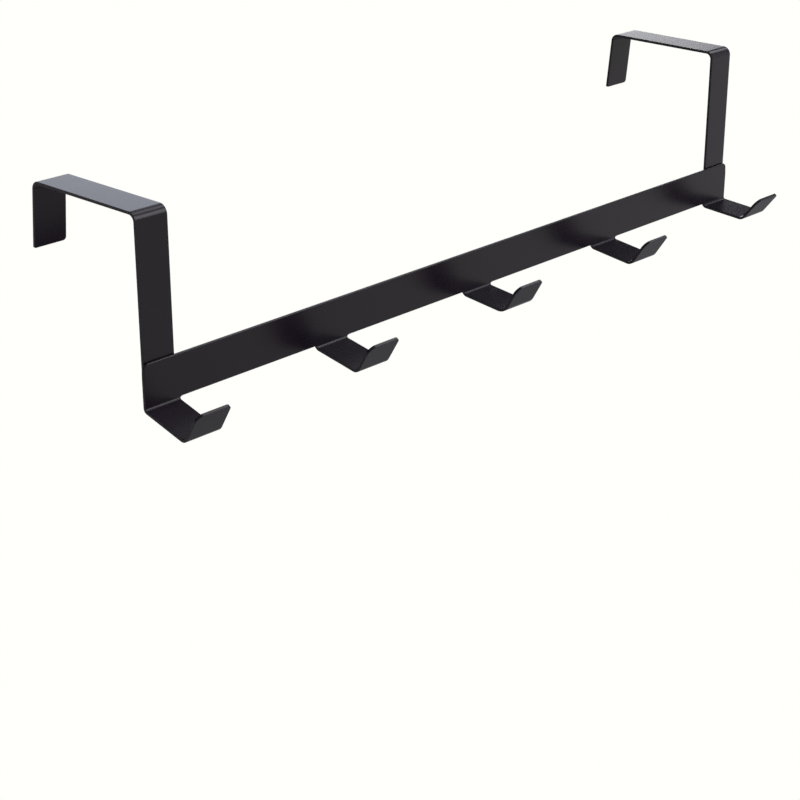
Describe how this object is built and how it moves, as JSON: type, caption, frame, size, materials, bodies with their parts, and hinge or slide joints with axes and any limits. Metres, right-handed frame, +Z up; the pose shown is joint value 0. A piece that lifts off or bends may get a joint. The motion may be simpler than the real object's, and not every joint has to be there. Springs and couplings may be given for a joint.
{
  "type": "over door hook rack",
  "caption": "Flat steel rail with upturned hooks pressed out of its lower edge, hung from two bent straps that fold over the top of a door.",
  "frame": {"origin": "on the front top edge of the door that the straps fold over, midway between the two straps", "axes": "+X along the rail, to the right of a person who faces the hooks; +Y into the door, away from the hooks; +Z up"},
  "size_m": [0.3, 0.0771, 0.0665],
  "materials": {
    "rail_finish": "black satin powder coat on bent sheet steel",
    "strap_finish": "black satin powder coat on bent sheet steel"
  },
  "bodies": {
    "root": {"hook_rail": "rail_finish", "left_door_bracket": "strap_finish", "right_door_bracket": "strap_finish"}
  },
  "joints": []
}
